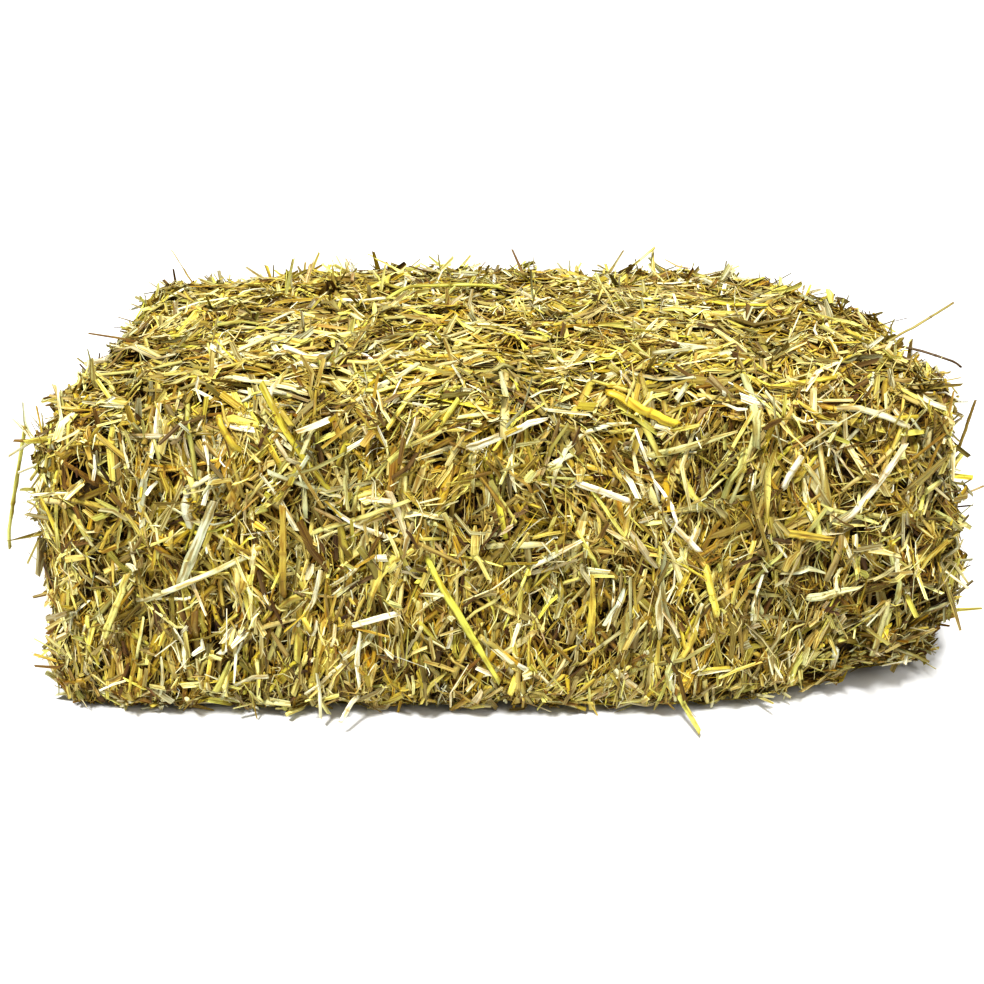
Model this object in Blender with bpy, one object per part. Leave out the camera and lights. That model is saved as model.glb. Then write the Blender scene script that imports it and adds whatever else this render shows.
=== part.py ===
"""Decorative straw bale: nine pressed flakes in a row, and the prominent loose straws that lie on them,
tuck into them or stick out of them. Metres, +Z up, the long side along X and the front facing -Y."""

import math
import random

import bmesh
import bpy
from mathutils import Quaternion, Vector, noise
from mathutils.bvhtree import BVHTree

for old in list(bpy.data.objects):
    bpy.data.objects.remove(old)

MM = 0.001

BALE_LENGTH = 548 * MM
BALE_DEPTH = 316 * MM
BALE_HEIGHT = 208 * MM
FLAKE_COUNT = 9
GAP = 0.3 * MM

parts = bpy.data.collections.new("decorative_straw_bale")
cutters = bpy.data.collections.new("cutters")
cutters.hide_render = True
for collection in (parts, cutters):
    bpy.context.scene.collection.children.link(collection)


def straw_material(name, colour, roughness):
    """A dry straw colour."""
    material = bpy.data.materials.new(name)
    material.use_nodes = True
    shader = material.node_tree.nodes["Principled BSDF"]
    shader.inputs["Base Color"].default_value = (*colour, 1)
    shader.inputs["Roughness"].default_value = roughness
    return material


# The block of straw before it parts into flakes.
#
# A baler's chamber gives it flat sides, and the straw springs back a little on its way out. So the long
# edges are soft and the faces bulge. It has sagged under its own weight: it is wider at its foot than at
# its top, and its underside is flat. Its front left and back right corners have slumped. Its right end was
# not pressed square: it runs back on a slant and leans in.

EDGE_ROUND = Vector((34 * MM, 30 * MM, 28 * MM))
RIGHT_END_ROUND = 22 * MM
FOOT_ROUND = 16 * MM
SPRING_BACK = Vector((5 * MM, 6 * MM, 8 * MM))
FLATTEST_BULGE = 0.35
FOOT_SPREAD = Vector((0.05, 0.055, 0))
FRONT_LEFT_SLUMP = 20 * MM
BACK_RIGHT_SLUMP = 30 * MM
SLUMP_START_X = 0.5
SLUMP_START_Y = 0.3
RIGHT_END_SKEW = 28 * MM
RIGHT_END_LEAN = 10 * MM
RIGHT_FRONT_WEAR = 20 * MM
RIGHT_FOOT_WEAR = 48 * MM
LUMPS = ((95 * MM, 4.5 * MM), (38 * MM, 2.2 * MM))
FLAKE_CREASE = 2.6 * MM
CREASE_WIDTH = 7 * MM
FOOT_FADE = 45 * MM
FLAKE_VARIATION = 0.12
ON_A_CUT = 0.01 * MM

HALF = Vector((BALE_LENGTH / 2, BALE_DEPTH / 2, BALE_HEIGHT))
HEART_HEIGHT = 0.45 * BALE_HEIGHT
HEART_REACH = 0.75


def flake_borders():
    """The places along X where one flake meets the next, and the two ends. Flakes differ a little."""
    rng = random.Random(4)
    shares = [1 + rng.uniform(-FLAKE_VARIATION, FLAKE_VARIATION) for _ in range(FLAKE_COUNT)]
    places = [-BALE_LENGTH / 2]
    for share in shares:
        places.append(places[-1] + share / sum(shares) * BALE_LENGTH)
    return places


BORDERS = flake_borders()


def cuts_along_length():
    """The cuts along X: three by each border, so that it can crease, and one in each flake's middle."""
    cuts = BORDERS[1:-1]
    for left, right in zip(BORDERS, BORDERS[1:]):
        cuts += [left + CREASE_WIDTH, (left + right) / 2, right - CREASE_WIDTH]
    for inset in (0.62 * EDGE_ROUND.x, 1.25 * EDGE_ROUND.x):
        cuts += [inset - HALF.x, HALF.x - inset]
    return sorted(cuts)


def cuts_along_depth():
    """The cuts along Y: closest together where the long edges turn."""
    insets = [share * EDGE_ROUND.y for share in (0.35, 1.1, 2.4)]
    return [0] + [side * (HALF.y - inset) for inset in insets for side in (-1, 1)]


def cuts_along_height():
    """The cuts along Z: closest together at the foot and where the top turns."""
    foot = [0.5 * FOOT_ROUND, 1.5 * FOOT_ROUND]
    middle = [0.36 * HALF.z, 0.6 * HALF.z]
    return foot + middle + [HALF.z - share * EDGE_ROUND.z for share in (1.3, 0.5)]


def held(value, low, high):
    """The value, kept between two others."""
    return max(low, min(high, value))


def rounded(point):
    """The same point once the block's edges are rounded. The right end keeps the sharpest edges."""
    half = HALF - SPRING_BACK
    place = Vector((point.x * half.x / HALF.x, point.y * half.y / HALF.y, point.z * half.z / HALF.z))
    end_round = EDGE_ROUND.x if point.x < 0 else RIGHT_END_ROUND
    core = Vector((
        held(place.x, end_round - half.x, half.x - end_round),
        held(place.y, EDGE_ROUND.y - half.y, half.y - EDGE_ROUND.y),
        held(place.z, FOOT_ROUND, half.z - EDGE_ROUND.z),
    ))
    reach = Vector((end_round, EDGE_ROUND.y, EDGE_ROUND.z if place.z > core.z else FOOT_ROUND))
    out = place - core
    steps = Vector((out.x / reach.x, out.y / reach.y, out.z / reach.z))
    if steps.length < 1e-9:
        return place
    steps *= max(abs(steps.x), abs(steps.y), abs(steps.z)) / steps.length
    return core + Vector((steps.x * reach.x, steps.y * reach.y, steps.z * reach.z))


def swell(share):
    """1 in the middle of a face and 0 at its edges, for share from -1 to 1."""
    return max(0.0, 1 - share * share)


def bulge(share):
    """How much of the full spring-back a wall shows: most in its middle, some at its edges."""
    return FLATTEST_BULGE + (1 - FLATTEST_BULGE) * swell(share)


def sprung(point):
    """A point of the plain block where the straw has pushed it."""
    place = rounded(point)
    across = Vector((point.x / HALF.x, point.y / HALF.y, 2 * point.z / HALF.z - 1))
    height = point.z / HALF.z
    place.x += across.x ** 3 * SPRING_BACK.x * swell(across.y) * bulge(across.z)
    place.y += across.y ** 3 * SPRING_BACK.y * swell(across.x ** 3) * bulge(across.z)
    place.z += height ** 3 * SPRING_BACK.z * swell(across.y) * swell(across.x ** 5)
    away = (place - Vector((HEART_REACH * place.x, 0, HEART_HEIGHT))).normalized()
    for size, rise in LUMPS:
        place += away * rise * noise.noise(place / size) * min(1.0, point.z / FOOT_FADE)
    place.x *= 1 + FOOT_SPREAD.x * (1 - height) * abs(across.x) ** 5
    place.y *= 1 + FOOT_SPREAD.y * (1 - height)
    if point.z < ON_A_CUT:
        place.z = 0
    return place + worn(across, height)


def slumped(end, side):
    """How much a corner has slumped, from 0 to 1. end and side run from -1 to 1, and are 1 at the corner."""
    near_end = max(0.0, end - SLUMP_START_X) / (1 - SLUMP_START_X)
    near_side = max(0.0, side + SLUMP_START_Y) / (1 + SLUMP_START_Y)
    return near_end * near_side


def worn(across, height):
    """How far the slumped corners and the slanted right end are out of square. across runs from -1 to 1
    along each side of the block, and height from 0 to 1."""
    last_flake = max(0.0, across.x * HALF.x - BORDERS[-2]) / (HALF.x - BORDERS[-2])
    right, front = max(0.0, across.x), max(0.0, -across.y)
    shorter = RIGHT_END_SKEW * (1 + across.y) / 2 + RIGHT_END_LEAN * height + RIGHT_FRONT_WEAR * front ** 2
    slump = FRONT_LEFT_SLUMP * slumped(-across.x, -across.y) + BACK_RIGHT_SLUMP * slumped(across.x, across.y)
    foot_wear = RIGHT_FOOT_WEAR * right ** 3 * front ** 3 * (1 - height)
    return Vector((-last_flake * shorter, foot_wear, -slump * height))


def kept_in_flake(place, x):
    """A point of the surface, kept clear of the sides of the flake that x lies in."""
    left = max((border for border in BORDERS[1:-1] if border < x), default=-math.inf)
    right = min((border for border in BORDERS[1:-1] if border > x), default=math.inf)
    return Vector((held(place.x, left + CREASE_WIDTH / 2, right - CREASE_WIDTH / 2), place.y, place.z))


def creased(point, border):
    """A point on the line where two flakes meet, pulled in."""
    return Vector((border, point.y * (1 - FLAKE_CREASE / HALF.y), point.z * (1 - FLAKE_CREASE / HALF.z)))


def pressed_block():
    """The whole block as one mesh, creased where the flakes meet."""
    mesh = bmesh.new()
    bmesh.ops.create_cube(mesh, size=1)
    for vertex in mesh.verts:
        corner = vertex.co
        vertex.co = Vector((corner.x * 2 * HALF.x, corner.y * 2 * HALF.y, (corner.z + 0.5) * HALF.z))
    rows = (
        (Vector((1, 0, 0)), cuts_along_length()),
        (Vector((0, 1, 0)), cuts_along_depth()),
        (Vector((0, 0, 1)), cuts_along_height()),
    )
    for axis, cuts in rows:
        for cut in cuts:
            everything = mesh.verts[:] + mesh.edges[:] + mesh.faces[:]
            bmesh.ops.bisect_plane(mesh, geom=everything, dist=1e-6, plane_co=axis * cut, plane_no=axis)
    for vertex in mesh.verts:
        x = vertex.co.x
        meeting = [border for border in BORDERS[1:-1] if abs(x - border) < ON_A_CUT]
        moved = sprung(vertex.co)
        vertex.co = creased(moved, meeting[0]) if meeting else kept_in_flake(moved, x)
    return mesh


block = pressed_block()
block_surface = BVHTree.FromBMesh(block)

# The flakes. Each is a slice of the block, with a hair of air between it and the next.

FLAKE_STRAW = straw_material("flake_straw", (0.5, 0.37, 0.1), 0.75)


def flake(index):
    """The slice of the block between two borders, closed by flat sides."""
    left, right = BORDERS[index], BORDERS[index + 1]
    mesh = block.copy()
    for border, outward in ((left, -1), (right, 1)):
        if border in (BORDERS[0], BORDERS[-1]):
            continue
        everything = mesh.verts[:] + mesh.edges[:] + mesh.faces[:]
        at = Vector((border - outward * GAP / 2, 0, 0))
        bmesh.ops.bisect_plane(
            mesh, geom=everything, dist=1e-6, plane_co=at, plane_no=Vector((outward, 0, 0)), clear_outer=True
        )
        rim = [edge for edge in mesh.edges if edge.is_boundary]
        bmesh.ops.edgeloop_fill(mesh, edges=rim)
    bmesh.ops.recalc_face_normals(mesh, faces=mesh.faces[:])
    bmesh.ops.triangulate(mesh, faces=mesh.faces[:])
    data = bpy.data.meshes.new(f"flake_{index + 1}")
    mesh.to_mesh(data)
    mesh.free()
    data.materials.append(FLAKE_STRAW)
    made = bpy.data.objects.new(f"flake_{index + 1}", data)
    parts.objects.link(made)
    return made


flakes = [flake(index) for index in range(FLAKE_COUNT)]

# The loose straws.
#
# Each is a crushed stem, a leaf blade or a thin stalk. It starts under the surface, where the flake holds
# it, then lies on the straw or stands off it.

LEMON = straw_material("lemon_straw", (0.68, 0.5, 0.06), 0.5)
GOLDEN = straw_material("golden_straw", (0.55, 0.33, 0.04), 0.5)
PALE = straw_material("pale_straw", (0.78, 0.7, 0.42), 0.55)
TAN = straw_material("tan_straw", (0.42, 0.29, 0.14), 0.6)
OLIVE = straw_material("olive_straw", (0.3, 0.31, 0.12), 0.6)
DARK = straw_material("dark_straw", (0.16, 0.11, 0.05), 0.65)

STEM_SIDES = 6
STEM_WALL = 0.55 * MM
BORE_DEPTH = 5 * MM
PATH_STEPS = 6
TUCK_SHARE = 0.16
TUCK_UNDER = 4 * MM
TIP_STARTS = 0.5
TURN_EACH_STEP = 0.6
NODE_SWELL = 1.22
TUCK_DEPTH = 13 * MM

# For each face of the bale: the way a ray looks at it, and the directions that its first and second
# places run along.
FACES = {
    "front": (Vector((0, 1, 0)), Vector((1, 0, 0)), Vector((0, 0, 1))),
    "back": (Vector((0, -1, 0)), Vector((1, 0, 0)), Vector((0, 0, 1))),
    "top": (Vector((0, 0, -1)), Vector((1, 0, 0)), Vector((0, 1, 0))),
    "left": (Vector((1, 0, 0)), Vector((0, 1, 0)), Vector((0, 0, 1))),
    "right": (Vector((-1, 0, 0)), Vector((0, 1, 0)), Vector((0, 0, 1))),
}


def path_on(face, start, angle, length, thickness, tip, bow):
    """The places and outward directions of a straw that lies on a face, and bends over its edge if it is
    long enough. It starts tucked in. At its far end it is tip above the surface, or under it where tip is
    negative. bow turns it sideways, in degrees over its length."""
    look, along, up = FACES[face]
    begin = along * start[0] * MM + up * start[1] * MM
    hit, normal, _, _ = block_surface.ray_cast(begin - look, look)
    turn = math.radians(angle)
    heading = along * math.cos(turn) + up * math.sin(turn)
    stride = length / (PATH_STEPS - 1)
    rest = thickness / 2 + 2 * GAP
    places, outward = [], []
    for step in range(PATH_STEPS):
        share = step / (PATH_STEPS - 1)
        height = rest
        if share < TUCK_SHARE:
            height = rest - (thickness + TUCK_UNDER) * (1 - share / TUCK_SHARE)
        if share > TIP_STARTS:
            rise = tip * MM if tip > 0 else tip * MM - thickness
            height += rise * ((share - TIP_STARTS) / (1 - TIP_STARTS)) ** 2
        places.append(hit + normal * height)
        outward.append(normal)
        heading = (heading - normal * heading.dot(normal)).normalized()
        hit, found, _, _ = block_surface.find_nearest(hit + heading * stride)
        normal = normal.lerp(found, TURN_EACH_STEP).normalized()
        heading = Quaternion(normal, math.radians(bow / (PATH_STEPS - 1))) @ heading
    return places, outward


def path_off(face, start, angle, lean, length, thickness, bend):
    """The places and outward directions of a straw that stands off a face. angle is the way it heads along
    the face, lean is how far it stands off it, and bend turns it back over its length, all in degrees. It
    starts under the surface and never goes into the floor."""
    look, along, up = FACES[face]
    hit, normal, _, _ = block_surface.ray_cast(along * start[0] * MM + up * start[1] * MM - look, look)
    turn = math.radians(angle)
    heading = along * math.cos(turn) + up * math.sin(turn)
    heading = (heading - normal * heading.dot(normal)).normalized()
    raised = Quaternion(heading.cross(normal), math.radians(lean))
    ahead, outward = raised @ heading, raised @ normal
    fall = Quaternion(heading.cross(normal), -math.radians(bend / (PATH_STEPS - 1)))
    place = hit - ahead * TUCK_DEPTH
    places, directions = [], []
    for _ in range(PATH_STEPS):
        places.append(Vector((place.x, place.y, max(place.z, thickness / 2 + 2 * GAP))))
        directions.append(outward.copy())
        place = place + ahead * length / (PATH_STEPS - 1)
        ahead, outward = fall @ ahead, fall @ outward
    return places, directions


def straw_shape(places, outward, width, thickness, taper, cup, node, grow=0.0):
    """A closed straw along a path: a cylinder cut into rings, each ring carried to its place. cup arches
    its section, taper narrows it to its tip, and node is the share of its length where a knuckle swells."""
    mesh = bmesh.new()
    bmesh.ops.create_cone(
        mesh, cap_ends=True, segments=STEM_SIDES, radius1=1, radius2=1, depth=PATH_STEPS - 1
    )
    for step in range(1, PATH_STEPS - 1):
        everything = mesh.verts[:] + mesh.edges[:] + mesh.faces[:]
        at = Vector((0, 0, step - (PATH_STEPS - 1) / 2))
        bmesh.ops.bisect_plane(mesh, geom=everything, dist=1e-4, plane_co=at, plane_no=Vector((0, 0, 1)))
    for vertex in mesh.verts:
        ring = round(vertex.co.z + (PATH_STEPS - 1) / 2)
        before, after = places[max(ring - 1, 0)], places[min(ring + 1, PATH_STEPS - 1)]
        along = (after - before).normalized()
        side = outward[ring].cross(along).normalized()
        up = along.cross(side)
        share = ring / (PATH_STEPS - 1)
        swollen = NODE_SWELL if node and abs(share - node) < 0.5 / (PATH_STEPS - 1) else 1
        wide = (width / 2 * (1 - (1 - taper) * share ** 2)) * swollen + grow
        high = thickness / 2 * swollen + grow
        arch = cup * (vertex.co.x ** 2 - 0.5) * wide
        end = 0
        if ring in (0, PATH_STEPS - 1):
            end = grow if ring else -grow
        vertex.co = (
            places[ring] + side * vertex.co.x * wide + up * (vertex.co.y * high - arch) + along * end
        )
    return mesh


def bore_ends(mesh):
    """Hollows both ends of a stem."""
    mesh.normal_update()
    caps = [face for face in mesh.faces if len(face.verts) == STEM_SIDES]
    for cap in caps:
        bmesh.ops.inset_individual(mesh, faces=[cap], thickness=STEM_WALL, use_even_offset=True)
        inward = -cap.normal * BORE_DEPTH
        made = bmesh.ops.extrude_discrete_faces(mesh, faces=[cap])["faces"]
        bmesh.ops.translate(mesh, vec=inward, verts=made[0].verts[:])


def loose_straw(name, path, width, thickness, material, taper=0.85, cup=0.0, node=0.0, hollow=False):
    """One loose straw, and a pocket in each flake that it dips into."""
    places, outward = path
    shape = straw_shape(places, outward, width * MM, thickness * MM, taper, cup, node)
    if hollow:
        bore_ends(shape)
    bmesh.ops.triangulate(shape, faces=shape.faces[:])
    data = bpy.data.meshes.new(name)
    shape.to_mesh(data)
    shape.free()
    data.materials.append(material)
    made = bpy.data.objects.new(name, data)
    parts.objects.link(made)
    pocket = straw_shape(places, outward, width * MM, thickness * MM, taper, cup, node, grow=GAP)
    bmesh.ops.triangulate(pocket, faces=pocket.faces[:])
    pocket_data = bpy.data.meshes.new(f"{name}_pocket")
    pocket.to_mesh(pocket_data)
    cutter = bpy.data.objects.new(f"{name}_pocket", pocket_data)
    cutter.hide_render = True
    cutter.display_type = "WIRE"
    cutters.objects.link(cutter)
    reach = [vertex.co.x for vertex in pocket.verts]
    touches = bool(BVHTree.FromBMesh(pocket).overlap(block_surface))
    pocket.free()
    sides = [-math.inf, *BORDERS[1:-1], math.inf]
    for solid, left, right in zip(flakes, sides, sides[1:]):
        if touches and min(reach) < right and max(reach) > left:
            cut = solid.modifiers.new(f"{name}_pocket", "BOOLEAN")
            cut.operation = "DIFFERENCE"
            cut.solver = "EXACT"
            cut.object = cutter


# What sets some of them apart: an arched leaf blade, a sharper one, the husk of a leaf, a stem that is open
# at both ends, and a fine stalk.
BLADE = {"cup": 0.2, "taper": 0.35}
SHARP_BLADE = {"cup": 0.2, "taper": 0.2}
HUSK = {"cup": 0.25, "taper": 0.5}
HOLLOW = {"hollow": True}
FINE = {"taper": 0.6}

# Straws that lie on a face. The place is where each one starts, in millimetres along the face and up it,
# and the angle is anticlockwise from the face's first direction.
LYING = (
    # name, face, start, angle, length, width, thickness, tip, bow, material, other details
    ("pale_flat_leaf_front", "front", (-26, 172), 25, 48, 5.4, 0.9, 3, 10, PALE, {"cup": 0.15, "taper": 0.5}),
    ("white_stem_front", "front", (30, 156), -17, 31, 4.6, 2.2, 2, 0, PALE, HOLLOW),
    ("split_stem_front_left", "front", (-186, 88), 68, 66, 5.8, 2.0, 3, -10, PALE, {"node": 0.34}),
    ("golden_stem_front_left", "front", (-128, 86), 82, 58, 4.4, 2.0, 1, 5, GOLDEN, {}),
    ("long_lemon_stem_front", "front", (-49, 112), -65, 88, 4.4, 2.1, 3, 6, LEMON, {"node": 0.5}),
    ("pale_stem_front_low", "front", (-102, 65), 22, 42, 4.8, 2.0, 2, 0, PALE, HOLLOW),
    ("lemon_stem_front_right", "front", (103, 108), -76, 32, 4.8, 2.2, 2, 5, LEMON, HOLLOW),
    ("pale_stem_front_right", "front", (79, 136), -44, 27, 3.8, 1.9, 1, 0, PALE, {}),
    ("short_white_stem_front", "front", (141, 148), 77, 24, 4.6, 2.0, 3, 0, PALE, {}),
    ("golden_husk_front_right", "front", (137, 127), -10, 34, 6.0, 0.9, 4, 10, GOLDEN, HUSK),
    ("split_leaf_front_right", "front", (164, 82), 18, 32, 5.6, 0.8, 3, -10, PALE, BLADE),
    ("jointed_stem_front_right", "front", (176, 127), 58, 56, 4.2, 2.1, 2, 16, PALE, {"node": 0.5}),
    ("thick_golden_stem_front", "front", (84, 183), 146, 44, 5.8, 2.6, 2, 0, GOLDEN, HOLLOW),
    ("lemon_leaf_front_right", "front", (68, 168), 14, 48, 5.0, 0.8, 3, 14, LEMON, BLADE),
    ("bent_golden_stem_front_left", "front", (-142, 170), 118, 32, 4.6, 2.2, 3, 0, GOLDEN, {}),
    ("lemon_stem_front_low", "front", (-235, 54), 60, 53, 4.2, 1.9, 1, 8, LEMON, {}),
    ("golden_leaf_front_low", "front", (43, 58), 86, 46, 5.4, 0.8, 4, 14, GOLDEN, BLADE),
    ("lemon_stem_front_corner", "front", (214, 28), 98, 50, 4.2, 2.0, 2, -8, LEMON, HOLLOW),
    ("wide_pale_leaf_top", "top", (-110, -138), 169, 46, 7.6, 0.9, 4, 5, PALE, {"cup": 0.3, "taper": 0.55}),
    ("lemon_stem_top_left", "top", (-173, -98), 26, 44, 4.4, 2.1, 3, 8, LEMON, HOLLOW),
    ("golden_leaf_top", "top", (-27, -11), -166, 40, 6.2, 0.8, 5, 14, GOLDEN, BLADE),
    ("pale_stem_top_middle", "top", (114, -81), -145, 46, 4.4, 2.2, 3, -8, PALE, HOLLOW),
    ("lemon_leaf_top_right", "top", (220, -26), 178, 40, 6.6, 0.8, 4, 14, LEMON, BLADE),
    ("golden_stem_top_right", "top", (126, 17), -54, 54, 4.4, 2.1, 4, 10, GOLDEN, {"node": 0.5}),
    ("pale_stem_top_back", "top", (-119, 7), -32, 44, 4.2, 2.0, 3, 10, PALE, {}),
    ("bent_lemon_stem_top", "top", (-84, 20), 42, 92, 4.4, 2.0, 4, -105, LEMON, {"node": 0.5}),
    ("lemon_stem_left_end", "left", (-40, 62), 74, 78, 4.4, 2.1, 3, 14, LEMON, {"node": 0.5}),
    ("pale_leaf_left_end", "left", (38, 138), -122, 60, 6.6, 0.8, 4, 14, PALE, BLADE),
    ("golden_stem_right_end", "right", (22, 44), 104, 82, 4.6, 2.1, 3, -14, GOLDEN, HOLLOW),
    ("pale_leaf_right_end", "right", (-52, 130), -60, 58, 6.4, 0.8, 4, 14, PALE, BLADE),
    ("lemon_stem_back_left", "back", (-196, 60), 58, 84, 4.6, 2.1, 3, 14, LEMON, {"node": 0.5}),
    ("golden_leaf_back", "back", (-58, 160), -70, 66, 6.8, 0.8, 4, 21, GOLDEN, BLADE),
    ("pale_stem_back_middle", "back", (44, 52), 96, 72, 4.4, 2.1, 2, 14, PALE, HOLLOW),
    ("lemon_leaf_back_right", "back", (196, 152), -128, 64, 6.6, 0.8, 4, 14, LEMON, BLADE),
)

for name, face, start, angle, length, width, thickness, tip, bow, material, details in LYING:
    path = path_on(face, start, angle, length * MM, thickness * MM, tip, bow)
    loose_straw(name, path, width, thickness, material, **details)

# Straws that stand off the bale. lean and bend are in degrees.
STANDING = (
    # name, face, start, angle, lean, length, bend, width, thickness, material, other details
    ("lemon_stalk_past_left_end", "left", (-126, 160), -94, 20, 76, 4, 4.6, 1.7, LEMON, FINE),
    ("golden_leaf_past_top_left", "top", (-240, 96), 190, 56, 36, -20, 5.2, 0.8, GOLDEN, SHARP_BLADE),
    ("olive_stalk_past_top_right", "top", (228, -60), 12, 26, 50, -10, 2.2, 1.4, OLIVE, FINE),
    ("golden_husk_past_right_end", "top", (245, -84), 170, 46, 24, -12, 4.8, 0.9, GOLDEN, HUSK),
    ("dark_stalk_past_right_end", "top", (228, -80), -36, 8, 42, 34, 2.4, 1.3, DARK, FINE),
    ("tan_stalk_past_right_end", "right", (-118, 168), 84, 10, 30, 0, 3.4, 1.3, TAN, FINE),
    ("curved_stalk_past_right_end", "right", (-80, 98), 76, 46, 45, -24, 2.8, 1.3, TAN, FINE),
    ("olive_leaf_right_corner", "front", (209, 150), 62, 12, 38, -8, 6.6, 0.8, OLIVE, BLADE),
    ("lemon_stem_past_top_back", "top", (86, 98), 30, 24, 44, -12, 3.2, 1.7, LEMON, {"taper": 0.8}),
    ("lemon_leaf_past_top_middle", "top", (-80, 100), 158, 26, 44, 10, 5.0, 0.8, LEMON, SHARP_BLADE),
    ("pale_stem_past_foot_front_left", "front", (-92, 20), -128, 34, 30, -14, 3.6, 1.6, PALE, {}),
    ("lemon_stem_past_foot_front_right", "front", (98, 18), -54, 34, 34, -14, 3.8, 1.6, LEMON, {}),
    ("golden_stem_past_foot_back", "back", (-22, 20), -60, 34, 32, -14, 3.8, 1.6, GOLDEN, {}),
)

for name, face, start, angle, lean, length, bend, width, thickness, material, details in STANDING:
    path = path_off(face, start, angle, lean, length * MM, thickness * MM, bend)
    loose_straw(name, path, width, thickness, material, **details)

block.free()
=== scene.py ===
import math

import bpy
import numpy as np
from mathutils.bvhtree import BVHTree
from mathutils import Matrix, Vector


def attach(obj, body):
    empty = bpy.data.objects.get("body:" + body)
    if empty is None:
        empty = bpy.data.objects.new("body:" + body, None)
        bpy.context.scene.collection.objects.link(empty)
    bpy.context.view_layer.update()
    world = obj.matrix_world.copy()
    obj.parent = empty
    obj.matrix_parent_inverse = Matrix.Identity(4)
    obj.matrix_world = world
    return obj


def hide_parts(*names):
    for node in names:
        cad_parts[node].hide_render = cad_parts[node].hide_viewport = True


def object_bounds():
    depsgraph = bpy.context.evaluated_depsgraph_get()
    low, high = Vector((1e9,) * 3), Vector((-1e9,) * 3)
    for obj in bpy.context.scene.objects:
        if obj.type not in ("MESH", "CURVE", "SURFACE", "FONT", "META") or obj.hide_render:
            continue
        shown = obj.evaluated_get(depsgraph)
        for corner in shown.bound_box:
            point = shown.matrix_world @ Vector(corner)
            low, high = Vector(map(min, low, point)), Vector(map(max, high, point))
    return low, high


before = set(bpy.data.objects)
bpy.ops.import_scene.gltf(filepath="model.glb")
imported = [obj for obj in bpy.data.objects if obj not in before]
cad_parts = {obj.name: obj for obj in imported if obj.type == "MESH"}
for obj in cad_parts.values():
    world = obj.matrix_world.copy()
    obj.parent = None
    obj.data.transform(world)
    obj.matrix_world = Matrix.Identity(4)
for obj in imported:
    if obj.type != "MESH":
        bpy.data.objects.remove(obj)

cad_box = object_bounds()


# The pressed block. Nine flakes of straw, pressed side by side, make one rounded block. Each straw
# lies on or just under the skin of that block, so the skin is read from the flakes, without the cut
# faces where one flake meets the next, and the straws are laid along it.
MM = 0.001
FLAKES = [f"flake_{count}" for count in range(1, 10)]
CUT_FACE_REACH = 0.2 * MM
UNDERSIDE = 0.5 * MM


def joined_shell(node):
    """A flake's corner points and triangles, with the corners that only part its normals joined."""
    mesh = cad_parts[node].data
    mesh.calc_loop_triangles()
    places = np.empty(len(mesh.vertices) * 3, np.float32)
    mesh.vertices.foreach_get("co", places)
    triangles = np.empty(len(mesh.loop_triangles) * 3, np.int32)
    mesh.loop_triangles.foreach_get("vertices", triangles)
    corners, index = np.unique(np.round(places.reshape(-1, 3), 6), axis=0, return_inverse=True)
    return corners.astype(float), index.reshape(-1)[triangles].reshape(-1, 3)


def unit(ways):
    return ways / np.maximum(np.linalg.norm(ways, axis=-1, keepdims=True), 1e-9)


def facing(corners, triangles):
    """The normal of each triangle, as long as twice its area."""
    a, b, c = (corners[triangles[:, side]] for side in range(3))
    return np.cross(b - a, c - a)


CORE_DEPTH = 70 * MM


def outwards(corners):
    """The way out of the block at each corner, away from a core that lies well inside it."""
    low, high = np.array(cad_box[0]) + CORE_DEPTH, np.array(cad_box[1]) - CORE_DEPTH
    return unit(corners - np.clip(corners, low, high))


# Where the skin faces further from the way out than this, it is the side of a pocket that a loose
# straw sits in, and the way out is used in its place.
DENT_TURN = 0.75
skin_corners, skin_faces, skin_flakes, skin_normals = [], [], [], []
for number, name in enumerate(FLAKES):
    corners, triangles = joined_shell(name)
    across = corners[triangles][:, :, 0]
    inner_left = (across < corners[:, 0].min() + CUT_FACE_REACH).all(1) & (number > 0)
    inner_right = (across > corners[:, 0].max() - CUT_FACE_REACH).all(1) & (number < len(FLAKES) - 1)
    outer = triangles[~(inner_left | inner_right)]
    rounded = np.zeros_like(corners)
    for side in range(3):
        np.add.at(rounded, outer[:, side], facing(corners, outer))
    skin_faces.append(outer + sum(map(len, skin_corners)))
    skin_corners.append(corners)
    skin_flakes.append(np.full(len(outer), number))
    in_the_open = (unit(rounded) * outwards(corners)).sum(1, keepdims=True) > DENT_TURN
    skin_normals.append(np.where(in_the_open, unit(rounded), outwards(corners)))
skin_corners, skin_normals = np.concatenate(skin_corners), np.concatenate(skin_normals)
skin_faces, skin_flakes = np.concatenate(skin_faces), np.concatenate(skin_flakes)
skin = BVHTree.FromPolygons(skin_corners.tolist(), skin_faces.tolist())


def on_skin(places):
    """The nearest place on the skin to each point, and the way the skin faces there."""
    found = [skin.find_nearest(place) for place in places.reshape(-1, 3).tolist()]
    spots = np.array([hit[0] for hit in found])
    corners = skin_faces[[hit[2] for hit in found]]
    a, b, c = (skin_corners[corners[:, side]] for side in range(3))
    whole = np.cross(b - a, c - a)
    size = np.maximum((whole * whole).sum(1), 1e-18)
    to_b = (np.cross(spots - a, c - a) * whole).sum(1) / size
    to_c = (np.cross(b - a, spots - a) * whole).sum(1) / size
    shares = np.stack([1 - to_b - to_c, to_b, to_c], 1)
    normals = unit((skin_normals[corners] * shares[:, :, None]).sum(1))
    return spots.reshape(places.shape), normals.reshape(places.shape)


UNDERNEATH = 0.3


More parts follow.
